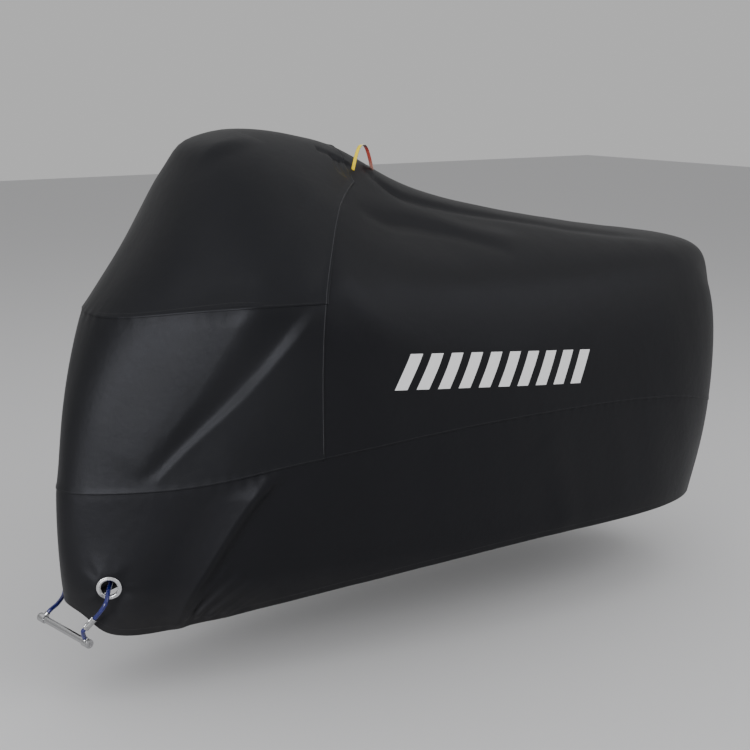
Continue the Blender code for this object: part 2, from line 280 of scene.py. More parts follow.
sleeve = {  # the cable's course, from the near head to the far head
    "radius": 0.005,
    "nearLead": (0, 0.003, 0.006), "farLead": (0.008, 0.004, 0),  # straight out of each head's collar
    "ferruleLead": 0.006,
    "bend": (Vector((-0.1765, -0.1405, 0.2620)), Vector((-0.1665, -0.1450, 0.2800))),
    "eyeletLead": 0.020, "pastEyelet": Vector((-0.1330, -0.0880, 0.3000)),
    "middle": Vector((-0.1250, 0.0000, 0.2950)),
    "farSide": (Vector((-0.1590, 0.1460, 0.2720)), Vector((-0.1640, 0.1400, 0.2320)),
                Vector((-0.1800, 0.1120, 0.2080)), Vector((-0.2060, 0.0810, 0.2015))),
    "parts": 8,  # short lines between two of these places
    "deep": (0.002, 0.003, 0.060, 1), "pale": (0.004, 0.008, 0.130, 1),
}


def softRoute(points, parts):  # more points on a smooth line through these
    last = len(points) - 1
    headings = []
    for k in range(last + 1):
        before, after = points[max(k - 1, 0)], points[min(k + 1, last)]
        headings.append((after - before) / ((points[k] - before).length + (after - points[k]).length))
    route = []
    for i in range(last):
        start, run = points[i], points[i + 1] - points[i]
        leanIn, leanOut = headings[i] * run.length, headings[i + 1] * run.length
        for k in range(parts):
            t = k / parts
            share = t * t * (3 - 2 * t)
            route.append(start + run * share + leanIn * t * (1 - t) ** 2 + leanOut * t * t * (t - 1))
    return route + [points[-1]]


def cableRoute():
    reach = lock["stubReach"] + lock["gap"]
    nearEnd = [lock["nearHead"] + lock["nearStub"] * (reach + run) for run in sleeve["nearLead"]]
    farEnd = [lock["farHead"] + lock["farStub"] * (reach + run) for run in sleeve["farLead"]]
    low, top = lock["ferruleLow"], lock["ferruleTop"]
    straight = (top - low).normalized() * sleeve["ferruleLead"]
    threaded = [eyelet["at"] + eyelet["facing"] * sleeve["eyeletLead"], eyelet["at"], sleeve["pastEyelet"]]
    back = [spot * mirror for spot in reversed(threaded)]
    return softRoute([*nearEnd, low - straight, low, top, top + straight, *sleeve["bend"], *threaded,
                      sleeve["middle"], *back, *sleeve["farSide"], *farEnd], sleeve["parts"])


def cableLook():
    look = Look("navy vinyl sleeve", **{"Coat Roughness": 0.08, "IOR": 1.5})
    place = look.place()
    patches = look.cloudy(place, 90.0, 3.0)
    look.varying(
        Base_Color=look.blend(patches, sleeve["deep"], sleeve["pale"]),
        Roughness=patches * 0.10 + 0.22,
        Coat_Weight=patches * 0.15 + 0.2,
        Normal=look.bump(look.cloudy(place, 700.0), 0.00008))
    return look.material


def buildCable():
    curve = bpy.data.curves.new("lockCable", "CURVE")
    curve.dimensions = "3D"
    curve.bevel_depth = sleeve["radius"]
    curve.bevel_resolution = 6
    curve.use_fill_caps = True
    line = curve.splines.new("POLY")
    route = cableRoute()
    line.points.add(len(route) - 1)
    for point, spot in zip(line.points, route):
        point.co = (spot - originAt).to_4d()
    cable = linkObject("lockCable", curve, cableLook())
    return settle(cable, "cable_sleeve", "lock_cable"), route


cable, cableLine = buildCable()


turnedParts = {
    "sameSpot": 0.00001,
    "barrel": {"edge": 0.0006, "grooves": (0.0060, 0.0090), "grooveDeep": 0.0004, "grooveWide": 0.0005},
    "head": {"edge": 0.0012, "groove": 0.0030, "grooveDeep": 0.0005, "plug": 0.0058, "plugDeep": 0.0010,
             "rim": 0.0004},
    "collar": {"edge": 0.0008, "bore": 0.0053, "boreDeep": 0.0015},
    "ferrule": {"edge": 0.0006, "bore": 0.0053, "rings": (-0.0120, -0.0075, 0.0075, 0.0120),
                "ringDeep": 0.0006, "ringWide": 0.0012, "seamWide": 0.0009, "seamDeep": 0.0013, "seamTurn": 2.2},
    "keyway": {"long": 0.0062, "wide": 0.0016, "deep": 0.0040, "level": 0.99, "share": 0.98},
}


def standAt(centre, facing):
    return Matrix.Translation(centre - originAt) @ facing.to_track_quat("Z", "Y").to_matrix().to_4x4()


def turn(shape, profile, place, closed=False, steps=72):  # spins (radius, height) pairs round their axis
    before = set(shape.verts)
    verts = [shape.verts.new((radius, 0, height)) for radius, height in profile]
    edges = [shape.edges.new(pair) for pair in zip(verts, verts[1:])]
    if closed:
        edges.append(shape.edges.new((verts[-1], verts[0])))
    bmesh.ops.spin(shape, geom=verts + edges, axis=(0, 0, 1), angle=math.tau, steps=steps, use_merge=False)
    made = [vert for vert in shape.verts if vert not in before]
    bmesh.ops.remove_doubles(shape, verts=made, dist=turnedParts["sameSpot"])
    made = [vert for vert in shape.verts if vert not in before]
    bmesh.ops.recalc_face_normals(shape, faces=list({face for vert in made for face in vert.link_faces}))
    bmesh.ops.transform(shape, matrix=place, verts=made)
    return made


def metalLook(name, tone, rough):
    look = Look(name, Metallic=1.0)
    place = look.place()
    wear = look.cloudy(place, 160.0, 5.0, 0.65)
    drawn = look.node("Mapping", {}, {"Vector": place, "Scale": (1.0, 12.0, 1.0)})
    scratches = look.cloudy(drawn, 420.0, 3.0)
    worn, clean = (tone * 0.80, tone * 0.81, tone * 0.83, 1), (tone, tone, tone * 1.01, 1)
    look.varying(Base_Color=look.blend(wear, worn, clean), Normal=look.bump(scratches, 0.00005),
                 Roughness=wear * 0.16 + scratches * 0.08 + rough)
    return look.material


def buildEyelets():
    look = metalLook("plated ring", 0.66, 0.16)
    for name, flip in bothSides.items():
        shape = bmesh.new()
        turn(shape, eyelet["profile"], standAt(eyelet["at"] * flip, eyelet["facing"] * flip), True, 96)
        settle(shapeToObject(name + "Eyelet", shape, look, 0.7), "eyelet_metal", "eyelet_" + name)


def headProfile(spec, radius, half, plug):
    edge, deep = spec["edge"], spec["grooveDeep"]
    groove = -half + spec["groove"]
    profile = [(0, -half + (spec["plugDeep"] if plug else 0))]
    if plug:
        profile += [(spec["plug"], -half + spec["plugDeep"]), (spec["plug"], -half + spec["rim"]),
                    (spec["plug"] + spec["rim"], -half)]
    return profile + [
        (radius - edge, -half), (radius - edge * 0.3, -half + edge * 0.3), (radius, -half + edge),
        (radius, groove), (radius - deep, groove + deep * 0.5), (radius - deep, groove + deep * 1.5),
        (radius, groove + deep * 2), (radius, half - edge), (radius - edge * 0.3, half - edge * 0.3),
        (radius - edge, half), (0, half)]


def cutKeyway(shape, place):  # a slot in the middle of the near head's plug
    spec, plug = turnedParts["keyway"], turnedParts["head"]
    place = place @ Matrix.Translation((0, 0, plug["plugDeep"] - lock["headLength"] / 2))
    face, inwards = place.translation, place.to_3x3() @ Vector((0, 0, 1))
    inOrder(shape)
    within = [item for item in shape.faces if abs(item.normal.dot(inwards)) > spec["level"]
              and (item.calc_center_median() - face).length < plug["plug"] * spec["share"]]
    rim = [edge for edge in shape.edges if sum(item in within for item in edge.link_faces) == 1]
    bmesh.ops.delete(shape, geom=within, context="FACES")
    slot = bmesh.ops.create_grid(shape, x_segments=1, y_segments=1, size=0.5,
                                 matrix=place @ Matrix.Diagonal((spec["wide"], spec["long"], 1, 1)))
    floor = slot["verts"][0].link_faces[0]
    mouth = list(floor.edges)
    bmesh.ops.delete(shape, geom=[floor], context="FACES_ONLY")
    bmesh.ops.bridge_loops(shape, edges=rim + mouth)
    walls = bmesh.ops.extrude_edge_only(shape, edges=mouth)["geom"]
    deeper = [item for item in walls if isinstance(item, bmesh.types.BMVert)]
    bmesh.ops.translate(shape, verts=deeper, vec=inwards * spec["deep"])
    bmesh.ops.contextual_create(shape, geom=deeper)


def buildHead(name, centre, stub, outwards, look):
    spec, collar = turnedParts["head"], turnedParts["collar"]
    shape, place = bmesh.new(), standAt(centre, -outwards)
    near = name == "near"
    turn(shape, headProfile(spec, lock["headRadius"], lock["headLength"] / 2, near), place)
    if near:
        cutKeyway(shape, place)
    end, edge, radius = lock["stubReach"], collar["edge"], lock["stubRadius"]
    floor = end - collar["boreDeep"]
    turn(shape, ((0, 0), (radius, 0), (radius, end - edge), (radius - edge, end), (collar["bore"], end),
                 (collar["bore"], floor), (0, floor)), standAt(centre, stub))
    bmesh.ops.recalc_face_normals(shape, faces=shape.faces)
    return settle(shapeToObject(name + "Head", shape, look, 0.6), "lock_metal", "lock_head_" + name)


def buildBarrel(look):
    spec, radius = turnedParts["barrel"], lock["barrelRadius"]
    run = lock["farHead"] - lock["nearHead"]
    half = run.length / 2 - lock["headLength"] / 2 - lock["gap"]
    side = [(0, -half), (radius - spec["edge"], -half), (radius, spec["edge"] - half)]
    for groove in spec["grooves"]:
        wide, deep = spec["grooveWide"], radius - spec["grooveDeep"]
        side += [(radius, groove - half), (deep, groove + wide / 2 - half), (deep, groove + wide - half),
                 (radius, groove + 1.5 * wide - half)]
    shape = bmesh.new()
    turn(shape, side + [(across, -height) for across, height in reversed(side)],
         standAt((lock["nearHead"] + lock["farHead"]) / 2, run.normalized()))
    return settle(shapeToObject("lockBarrel", shape, look, 0.6), "lock_metal", "lock_barrel")


def buildFerrule(look):  # rolled from strip, with a seam along it, and crimped in rings
    spec, radius = turnedParts["ferrule"], lock["ferruleRadius"]
    half, edge = lock["ferruleLength"] / 2, spec["edge"]
    profile = [(spec["bore"], -half), (radius - edge, -half), (radius, edge - half)]
    for ring in spec["rings"]:
        wide, deep = spec["ringWide"], radius - spec["ringDeep"]
        profile += [(radius, ring - wide), (deep, ring - wide / 3), (deep, ring + wide / 3),
                    (radius, ring + wide)]
    profile += [(radius, half - edge), (radius - edge, half), (spec["bore"], half)]
    run = lock["ferruleTop"] - lock["ferruleLow"]
    place = standAt((lock["ferruleTop"] + lock["ferruleLow"]) / 2, run.normalized())
    shape = bmesh.new()
    for vert in turn(shape, profile, Matrix.Identity(4), True):
        sideways = math.remainder(math.atan2(vert.co.y, vert.co.x) - spec["seamTurn"], math.tau) * radius
        dip = spec["seamDeep"] * math.exp(-(sideways / spec["seamWide"]) ** 2)
        across = vert.co.xy.length
        if across > spec["bore"] + edge:
            vert.co.xy *= (across - dip) / across
    bmesh.ops.transform(shape, matrix=place, verts=shape.verts)
    return settle(shapeToObject("lockFerrule", shape, look, 0.6), "lock_metal", "lock_ferrule")


def buildLock():
    look = metalLook("satin plated steel", 0.48, 0.08)
    along = (lock["farHead"] - lock["nearHead"]).normalized()
    return [buildFerrule(look), buildBarrel(look),
            buildHead("near", lock["nearHead"], lock["nearStub"], -along, look),
            buildHead("far", lock["farHead"], lock["farStub"], along, look)]


buildEyelets()
lockPieces = buildLock()
print("eyelets and lock turned")


# The cover's outer face, from sections across it
shell = {
    "lowSeam": 0.34, "upperSeam": 0.66, "rim": 0.93,  # levels, as shares of the way from hem to crown
    "levels": (0.0, 0.34, 0.66, 0.85, 1.0),  # those that x and halfWidth are given at
    "heightLevels": (0.0, 0.34, 0.66, 1.0),
    "arch": -0.44,  # column of the seam behind the hood
    "frontRound": 2.5, "rearRound": 5.0, "sideRound": 2.3, "crownRound": 2.4,
    "sections": (
        {"place": -1.0, "x": (-0.210, -0.230, -0.225, 0.010, 0.090),
         "halfWidth": (0.135, 0.150, 0.240, 0.325, 0.405), "height": (0.235, 0.510, 0.870, 1.325)},
        {"place": -0.65, "x": (-0.085, 0.015, 0.025, 0.090, 0.155),
         "halfWidth": (0.160, 0.270, 0.350, 0.385, 0.405), "height": (0.175, 0.535, 0.925, 1.450)},
        {"place": -0.3, "x": (0.395, 0.315, 0.250, 0.315, 0.450),
         "halfWidth": (0.275, 0.365, 0.480, 0.440, 0.315), "height": (0.230, 0.590, 0.950, 1.305)},
        {"place": 0.1, "x": (0.835, 0.800, 0.780, 0.680, 0.760),
         "halfWidth": (0.330, 0.385, 0.415, 0.365, 0.290), "height": (0.260, 0.610, 0.925, 1.145)},
        {"place": 0.6, "x": (1.340, 1.400, 1.420, 1.480, 1.370),
         "halfWidth": (0.335, 0.350, 0.355, 0.345, 0.320), "height": (0.250, 0.570, 0.880, 1.025)},
        {"place": 1.0, "x": (1.705, 1.785, 1.885, 1.930, 1.925),
         "halfWidth": (0.310, 0.320, 0.330, 0.330, 0.325), "height": (0.230, 0.465, 0.800, 1.035)},
    ),
    "columnsFront": 150, "columnsRear": 148, "columnsEnd": 80,
    "rowsSkirt": 52, "rowsBand": 60, "rowsHood": 30,
    "seamSteps": (0.0, 0.003, 0.0065, 0.011),  # finer rows beside a seam
    "thickness": 0.0012, "sameSpot": 0.00002,
}


def softCurve(knots, values, t):  # smooth curve through the values at the knots
    knots = np.array(knots)
    values = np.stack([value + 0.0 * t for value in values])
    count = len(knots)
    low, high = np.maximum(np.arange(count) - 1, 0), np.minimum(np.arange(count) + 1, count - 1)
    slopes = (values[high] - values[low]) / (knots[high] - knots[low])[:, None]
    t = np.clip(t, knots[0], knots[-1])
    i = np.clip(np.searchsorted(knots, t, side="right") - 1, 0, count - 2)
    at = np.arange(len(t))
    step = knots[i + 1] - knots[i]
    u = (t - knots[i]) / step
    rise = smooth(u) * (values[i + 1, at] - values[i, at])
    bends = u * (1 - u) ** 2 * slopes[i, at] + u * u * (u - 1) * slopes[i + 1, at]
    return values[i, at] + rise + step * bends


def reading(key, levels, place, level):
    places = [section["place"] for section in shell["sections"]]
    columns = zip(*(section[key] for section in shell["sections"]))
    return softCurve(levels, [softCurve(places, column, place) for column in columns], level)


def clothPoint(place, side, level):
    x = reading("x", shell["levels"], place, level)
    y = side * reading("halfWidth", shell["levels"], place, level)
    z = reading("height", shell["heightLevels"], place, level)
    return np.stack((x, y, z), axis=1)


def roundness(place):
    return np.where(place < 0, shell["frontRound"], shell["rearRound"])


def wallPlace(a, b, level, sideWall):
    left = 1 - level ** shell["crownRound"]
    place = a * (left / 2) ** (1 / roundness(a))
    side = b * (left / 2) ** (1 / shell["sideRound"])
    if sideWall:
        side = b * np.maximum(left - abs(place) ** roundness(a), 0) ** (1 / shell["sideRound"])
    else:
        place = a * np.maximum(left - abs(side) ** shell["sideRound"], 0) ** (1 / roundness(a))
    return np.stack((place, side))


def topPlace(a, b):  # blended from the four edges of the top sheet
    u, v = (a + 1) / 2, (b + 1) / 2
    rim, one = np.full_like(a, shell["rim"]), np.ones_like(a)
    place, side = ((1 - v) * wallPlace(a, -one, rim, True) + v * wallPlace(a, one, rim, True)
                   + (1 - u) * wallPlace(-one, b, rim, False) + u * wallPlace(one, b, rim, False)
                   - (1 - u) * (1 - v) * wallPlace(-one, -one, rim, True)
                   - u * (1 - v) * wallPlace(one, -one, rim, True)
                   - (1 - u) * v * wallPlace(-one, one, rim, True) - u * v * wallPlace(one, one, rim, True))
    left = 1 - abs(place) ** roundness(place) - abs(side) ** shell["sideRound"]
    return place, side, np.maximum(left, 0) ** (1 / shell["crownRound"])


def sideSpot(sign):
    def spot(a, level):
        place, side = wallPlace(a, np.full_like(a, sign), level, True)
        return clothPoint(place, side, level), a, level
    return spot


def endSpot(sign):
    def spot(b, level):
        a = np.full_like(b, sign)
        place, side = wallPlace(a, b, level, False)
        return clothPoint(place, side, level), a, level
    return spot


def topSpot(a, b):
    place, side, level = topPlace(a, b)
    return clothPoint(place, side, level), a, level


def graded(start, end, count, fineStart, fineEnd):  # even steps with finer ones beside a seam
    close = np.array(shell["seamSteps"])
    first = start + close if fineStart else np.array((start,))
    last = end - close[::-1] if fineEnd else np.array((end,))
    return np.concatenate((first, np.linspace(first[-1], last[0], count)[1:-1], last))


def gridLines():
    arch, low, upper, rim = shell["arch"], shell["lowSeam"], shell["upperSeam"], shell["rim"]
    columns = np.concatenate((graded(-1, arch, shell["columnsFront"], False, True)[:-1],
                              graded(arch, 1, shell["columnsRear"], True, False)))
    rows = np.concatenate((graded(0, low, shell["rowsSkirt"], True, True)[:-1],
                           graded(low, upper, shell["rowsBand"], True, True)[:-1],
                           graded(upper, rim, shell["rowsHood"], True, False)))
    return columns, np.linspace(-1, 1, shell["columnsEnd"]), rows


def lengthAlong(line):
    return np.concatenate(([0.0], np.cumsum(np.linalg.norm(np.diff(line, axis=0), axis=1))))


def runningLength(points, ours, theirs):  # flat distance of each grid line, measured half way across
    middle = theirs == theirs.max() // 2
    return lengthAlong(points[middle][np.argsort(ours[middle])])


def readCorners(mesh):
    return readField(mesh.loops, "vertex_index", kind=int)


def laySheet(skin, columns, rows, spot):
    grid = bmesh.new()
    grid.loops.layers.uv.new("flat")
    bmesh.ops.create_grid(grid, x_segments=len(columns) - 1, y_segments=len(rows) - 1, size=0.5)
    mesh = bpy.data.meshes.new("sheet")
    grid.to_mesh(mesh)
    grid.free()
    cells = readPoints(mesh)
    i = np.rint((cells[:, 0] + 0.5) * (len(columns) - 1)).astype(int)
    j = np.rint((cells[:, 1] + 0.5) * (len(rows) - 1)).astype(int)
    points, along, level = spot(columns[i], rows[j])
    writePoints(mesh, points)
    flat = np.stack((runningLength(points, i, j)[i], runningLength(points, j, i)[j]), axis=1)
    mesh.uv_layers["flat"].data.foreach_set("uv", flat[readCorners(mesh)].ravel())
    for name, values in (("along", along), ("level", level)):
        mesh.attributes.new(name, "FLOAT", "POINT").data.foreach_set("value", values)
    skin.from_mesh(mesh)
    bpy.data.meshes.remove(mesh)


def wholeSkin():
    columns, ends, rows = gridLines()
    skin = bmesh.new()
    for across, spots in ((columns, sideSpot), (ends, endSpot)):
        for sign in (-1, 1):
            laySheet(skin, across, rows, spots(sign))
    laySheet(skin, columns, ends, topSpot)
    bmesh.ops.remove_doubles(skin, verts=skin.verts, dist=shell["sameSpot"])
    bmesh.ops.recalc_face_normals(skin, faces=skin.faces)
    mesh = bpy.data.meshes.new("skin")
    skin.to_mesh(mesh)
    skin.free()
    return mesh


skinMesh = wholeSkin()
print(f"skin laid, {len(skinMesh.polygons)} faces")


# A soft fold is a rounded ridge, or a valley where its rise is below 0. A sharp fold has a crest, a
# steep flank down to its valley, and past the valley a wide slope up to a bulge. Each pair is the
# value at the fold's start and at its end. The view is the side that the path is drawn on.
def softFold(view, path, wide, rise, ends=6):
    return {"view": view, "path": path, "wide": wide, "rise": rise, "ends": ends}


folds = (
    {"view": "near", "flip": 1, "below": (0.700, 0.070), "ends": 12,
     "path": ((0.300, 0.990), (0.224, 0.900), (0.182, 0.846), (0.140, 0.782), (0.096, 0.718),
              (0.051, 0.664), (0.000, 0.605), (-0.054, 0.537)),
     "crest": (0.002, 0.001), "steep": (0.030, 0.016), "depth": (0.006, 0.003), "wide": (0.115, 0.040),
     "bulge": (0.018, 0.003), "spread": (0.200, 0.080), "fade": (0.050, 0.030)},
    {"view": "near", "flip": -1, "below": (0.345, 0.050), "ends": 12,
     "path": ((0.200, 0.610), (0.145, 0.522), (0.110, 0.459), (0.078, 0.394), (0.044, 0.323),
              (0.008, 0.248), (-0.012, 0.180)),
     "crest": (0.022, 0.012), "steep": (0.042, 0.038), "depth": (0.004, 0.003), "wide": (0.150, 0.120),
     "bulge": (0, 0), "spread": (0.060, 0.060), "fade": (0.090, 0.075)},
    {"view": "near", "flip": 1, "ends": 2,
     "path": ((0.335, 1.157), (0.276, 1.108), (0.222, 1.050)),
     "crest": (0.001, 0.001), "steep": (0.030, 0.030), "depth": (0.003, 0.001), "wide": (0.100, 0.080),
     "bulge": (0, 0), "spread": (0.050, 0.050), "fade": (0.040, 0.040)},
    softFold("top", ((0.560, -0.106), (0.637, -0.123), (0.714, -0.119), (0.905, -0.116), (1.100, -0.125)),
             (0.013, 0.016), (-0.010, -0.006), 3),
    softFold("top", ((0.470, -0.195), (0.666, -0.167), (0.847, -0.204), (0.960, -0.208)),
             (0.026, 0.030), (0.004, 0.006), 2),
    softFold("top", ((0.465, -0.230), (0.536, -0.225), (0.628, -0.208), (0.741, -0.216), (0.870, -0.255)),
             (0.014, 0.018), (-0.010, -0.006), 2),
    softFold("top", ((1.020, -0.125), (1.250, -0.145), (1.480, -0.150)),
             (0.018, 0.022), (-0.005, -0.003), 2),
    softFold("near", ((0.300, 1.018), (0.345, 0.965), (0.400, 0.900), (0.470, 0.830), (0.640, 0.775),
                      (0.950, 0.745)), (0.045, 0.060), (0.006, 0.003)),
    softFold("top", ((0.556, -0.082), (0.580, -0.098)), (0.014, 0.014), (-0.005, -0.004)),
    softFold("top", ((0.468, -0.092), (0.452, -0.150)), (0.008, 0.008), (-0.0065, -0.002)),
    softFold("top", ((0.482, -0.094), (0.466, -0.156)), (0.008, 0.008), (-0.007, -0.002)),
    softFold("top", ((0.500, -0.098), (0.484, -0.150)), (0.008, 0.008), (-0.006, -0.0015)),
    softFold("top", ((0.422, -0.090), (0.450, -0.095), (0.500, -0.100)), (0.010, 0.008), (-0.005, -0.004)),
    softFold("front", ((-0.110, 1.264), (0.030, 1.266), (0.170, 1.264)), (0.028, 0.028), (0.010, 0.010)),
    softFold("near", ((0.010, 0.205), (0.050, 0.262), (0.105, 0.330)), (0.008, 0.009), (0.0085, 0.002)),
    softFold("near", ((0.030, 0.200), (0.078, 0.250), (0.140, 0.310)), (0.008, 0.010), (0.008, 0.002)),
    softFold("near", ((0.058, 0.198), (0.108, 0.240), (0.180, 0.292)), (0.008, 0.011), (0.007, 0.0018)),
    softFold("near", ((0.095, 0.200), (0.150, 0.236), (0.215, 0.272)), (0.009, 0.011), (0.0055, 0.0014)),
    {"view": "far", "flip": -1, "ends": 6,
     "path": ((0.262, 0.955), (0.170, 0.850), (0.080, 0.720), (-0.030, 0.560)),
     "crest": (0.004, 0.003), "steep": (0.034, 0.020), "depth": (0.009, 0.004), "wide": (0.115, 0.060),
     "bulge": (0.010, 0.003), "spread": (0.180, 0.090), "fade": (0.070, 0.050)},
    {"view": "far", "flip": 1, "ends": 6,
     "path": ((0.150, 0.575), (0.100, 0.450), (0.060, 0.330), (0.035, 0.205)),
     "crest": (0.009, 0.007), "steep": (0.042, 0.036), "depth": (0.007, 0.006), "wide": (0.120, 0.100),
     "bulge": (0.002, 0.002), "spread": (0.060, 0.060), "fade": (0.080, 0.060)},
    softFold("top", ((0.500, 0.120), (0.640, 0.138), (0.860, 0.122), (1.050, 0.130)),
             (0.015, 0.018), (-0.008, -0.004)),
    softFold("top", ((0.450, 0.235), (0.600, 0.214), (0.760, 0.232), (0.900, 0.270)),
             (0.016, 0.020), (-0.009, -0.004)),
    softFold("far", ((0.330, 1.000), (0.420, 0.880), (0.540, 0.800), (0.820, 0.760)),
             (0.045, 0.060), (0.005, 0.003)),
    softFold("far", ((0.780, 0.560), (0.900, 0.420), (0.960, 0.260)), (0.050, 0.040), (0.003, 0.005)),
    softFold("far", ((0.060, 0.200), (0.095, 0.262), (0.150, 0.320)), (0.008, 0.010), (0.0032, 0.0008)),
    softFold("far", ((0.090, 0.200), (0.140, 0.250), (0.205, 0.292)), (0.008, 0.010), (0.0028, 0.0008)),
    softFold("near", ((0.900, 0.540), (0.985, 0.410), (1.030, 0.262)), (0.060, 0.045), (0.002, 0.004)),
    softFold("rear", ((-0.200, 0.960), (-0.120, 0.700), (-0.060, 0.420), (-0.030, 0.230)),
             (0.035, 0.045), (-0.005, -0.007)),
    softFold("rear", ((0.210, 0.950), (0.160, 0.680), (0.070, 0.400), (0.050, 0.230)),
             (0.040, 0.040), (-0.006, -0.006)),
    softFold("rear", ((-0.060, 0.900), (0.010, 0.640), (0.020, 0.420)), (0.050, 0.040), (0.004, 0.003)),
    softFold("front", ((0.120, 0.880), (0.070, 0.700), (0.050, 0.520), (0.060, 0.300)),
             (0.035, 0.030), (-0.004, -0.005)),
)


creasing = {
    "parts": 4,  # short lines between two places of a path
    "turned": (-0.05, 0.20),  # a fold shows where the cloth faces its view by this much
    "lead": 0.3,
    "drift": (3.1, 1.6, 0.0030),  # broad unevenness: per metre across, per metre down, height
    "runs": (11.0, 3.0, 2.2, 9.0, 0.0012),  # the same drawn out down the walls: across, lean, down
}


def pathPlace(spots, path):  # signed distance to a path, and the share of it run there
    path = np.array(path)
    knots = np.arange(len(path))
    fine = np.linspace(0, len(path) - 1, creasing["parts"] * (len(path) - 1) + 1)
    line = np.stack([softCurve(knots, path[:, k], fine) for k in (0, 1)], axis=1)
    best, signed, share = np.full(len(spots), np.inf), np.zeros(len(spots)), np.zeros(len(spots))
    for k in range(len(line) - 1):
        run = line[k + 1] - line[k]
        off = spots - line[k]
        t = (off @ run) / (run @ run)
        gap = off - np.clip(t, 0, 1)[:, None] * run
        far = np.linalg.norm(gap, axis=1)
        side = np.sign(run[0] * off[:, 1] - run[1] * off[:, 0])
        reach = t if k in (0, len(line) - 2) else np.clip(t, 0, 1)
        nearer = far < best
        best = np.where(nearer, far, best)
        signed = np.where(nearer, side * far, signed)
        share = np.where(nearer, (k + reach) / (len(line) - 1), share)
    return signed, share


def between(pair, t):
    return pair[0] + (pair[1] - pair[0]) * np.clip(t, 0, 1)


def sharpRise(fold, off, t):
    off = off * fold["flip"]
    crest, depth, steep, wide, fade, bulge, spread = (
        between(fold[key], t) for key in ("crest", "depth", "steep", "wide", "fade", "bulge", "spread"))
    behind = crest * np.clip(1 - off / fade, 0, 1) ** 2
    flank = -depth + (crest + depth) * smooth((off + steep) / steep)
    slope = bulge - (bulge + depth) * smooth((off + wide) / (wide - steep))
    beyond = bulge * (1 - smooth((-off - wide) / spread))
    return np.where(off > 0, behind, np.where(off > -steep, flank, np.where(off > -wide, slope, beyond)))


# Each view's two axes, the axis it looks along, and which way
facings = {"near": (0, 2, 1, -1), "far": (0, 2, 1, 1), "front": (1, 2, 0, -1), "rear": (1, 2, 0, 1),
           "top": (0, 1, 2, 1)}


def foldRise(points, normals, level):
    total = np.zeros(len(points))
    hidden, full = creasing["turned"]
    for fold in folds:
        first, second, facing, sign = facings[fold["view"]]
        turned = smooth((normals[:, facing] * sign - hidden) / (full - hidden))
        off, t = pathPlace(points[:, (first, second)], fold["path"])
        sudden, lead = fold["ends"], creasing["lead"]
        ends = smooth(sudden * t + lead) * smooth(sudden * (1 - t) + lead)
        if "crest" in fold:
            rise = sharpRise(fold, off, t)
        else:
            rise = between(fold["rise"], t) * np.exp(-(off / between(fold["wide"], t)) ** 2)
        highest, soft = fold.get("below", (2, 1))
        kept = smooth((highest - level) / soft)
        total += rise * ends * turned * kept
    return total


def kinkRise(level, along):  # the front bends at its two seams
    front = 1 - smooth((along - seams["kinkEnd"]) / seams["kinkFade"])
    rise = np.zeros(len(level))
    for seam, kink in (("lowSeam", "lowKink"), ("upperSeam", "upperKink")):
        near = np.clip(1 - abs(level - shell[seam]) / seams["kinkReach"], 0, 1)
        rise += seams[kink] * near ** 2
    return rise * front


def drapeRise(points):
    across, down, high = creasing["drift"]
    drift = [noise.noise(Vector((x * across, y * across, z * down))) for x, y, z in points]
    close, lean, slow, start, low = creasing["runs"]
    runs = [noise.noise(Vector((x * close + z * lean, y * close, z * slow + start))) for x, y, z in points]
    return high * np.array(drift) + low * np.array(runs)


def flattened(points):  # the cloth is drawn into the plane of each eyelet
    for flip in bothSides.values():
        centre, facing = np.array(eyelet["at"] * flip), np.array(eyelet["facing"] * flip)
        off = points - centre
        distance = np.linalg.norm(off, axis=1)
        share = (1 + (distance / eyelet["flat"]) ** eyelet["grip"]) ** (-2 / eyelet["grip"])
        share *= 1 - smooth((distance - eyelet["flat"]) / (eyelet["fade"] - eyelet["flat"]))
        points = points - (off @ facing * share)[:, None] * facing
    return points


seams = {
    "lip": 0.0010,  # the upper panel stands this proud along a seam
    "tuck": 0.0006,  # and the lower panel goes this deep
    "blend": 0.016,
    "underlap": (0.007, 0.0005),  # how far a panel runs on under its neighbour, and how deep
    "pucker": 0.0005, "puckerWave": 0.034, "puckerReach": 0.030,
    "waver": (2.5, 13.0),  # puckers crowd and spread by this much, this often
    "calm": (0.6, 0.4, 7.0),  # and are as high as this, more or less this, this often
    "sample": 0.0015, "near": 0.06, "onEdge": 0.0001,
    "welt": ((0.0006, -0.0008), (0.0016, -0.0011), (0.0026, -0.0006), (0.0028, 0.0004)),
    "upperKink": 0.018, "lowKink": 0.005, "kinkReach": 0.16,
    "kinkEnd": -0.78, "kinkFade": 0.20,
}


def ringLine(level, count=4200):  # round the cover at one level, from the near front corner
    t = np.linspace(0, 4, count, endpoint=False)
    walls = (sideSpot(-1), -1), (endSpot(1), -1), (sideSpot(1), 1), (endSpot(-1), 1)
    lines = []
    for k, (spot, start) in enumerate(walls):
        part = t[(t >= k) & (t < k + 1)] - k
        across = start - 2 * start * part
        lines.append(spot(across, np.full_like(across, level))[0])
    return np.concatenate(lines)


def hoopLine(column, lowest, count=900):  # over the cover at one column, from the near wall
    up = np.linspace(lowest, shell["rim"], count)
    b = np.linspace(-1, 1, count)
    near = sideSpot(-1)(np.full_like(up, column), up)[0]
    over = topSpot(np.full_like(b, column), b)[0]
    far = sideSpot(1)(np.full_like(up, column), up[::-1])[0]
    return np.concatenate((near, over[1:-1], far))


def frontLine(level, column, count=700):  # round the front at one level, up to a column on each side
    a = np.linspace(column, -1, count)
    b = np.linspace(-1, 1, count)
    near = sideSpot(-1)(a, np.full_like(a, level))[0]
    nose = endSpot(-1)(b, np.full_like(b, level))[0]
    far = sideSpot(1)(a[::-1], np.full_like(a, level))[0]
    return np.concatenate((near, nose[1:-1], far))


